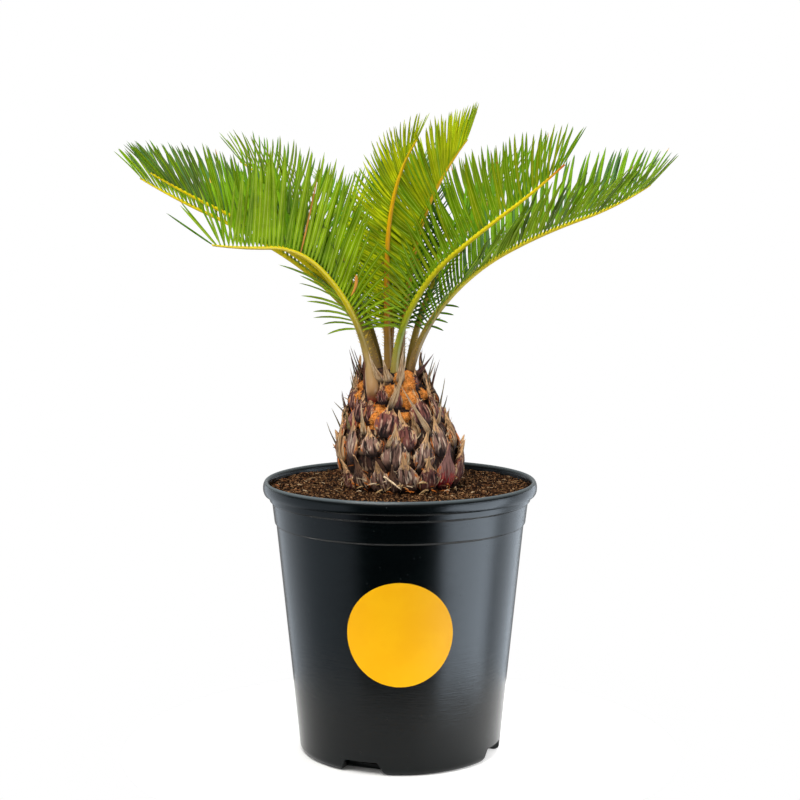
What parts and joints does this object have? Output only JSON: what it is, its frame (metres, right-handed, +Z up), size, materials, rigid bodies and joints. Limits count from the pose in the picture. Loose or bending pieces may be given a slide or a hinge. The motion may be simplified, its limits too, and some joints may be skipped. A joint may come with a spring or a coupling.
{
  "type": "potted sago palm",
  "caption": "Young sago palm with a scaly trunk and a spreading crown of feathery fronds, in a round plastic nursery pot full of potting mix.",
  "frame": {"origin": "centre of the pot's flat underside", "axes": "+Z up along the pot's axis, the labelled front of the pot faces -Y, and the widest fronds spread along X"},
  "size_m": [0.5071, 0.35, 0.5949],
  "materials": {
    "pot_plastic": "satin black plastic, lightly scuffed",
    "label_paper": "plain yellow coated paper",
    "potting_mix": "loose dark peat and bark crumbs",
    "trunk_bark": "dry woody leaf bases with tan tips",
    "frond_green": "glossy stiff green leaflets"
  },
  "bodies": {
    "root": {"pot": "pot_plastic", "label": "label_paper", "potting_mix": "potting_mix", "trunk": "trunk_bark", "frond_near_left": "frond_green", "frond_right": "frond_green", "frond_near_right": "frond_green", "frond_left": "frond_green", "frond_left_upper": "frond_green", "frond_inner_front": "frond_green", "frond_inner_right": "frond_green", "frond_back_left": "frond_green", "frond_back_right": "frond_green", "frond_back": "frond_green", "frond_far_back": "frond_green", "frond_inner_back": "frond_green"}
  },
  "joints": []
}
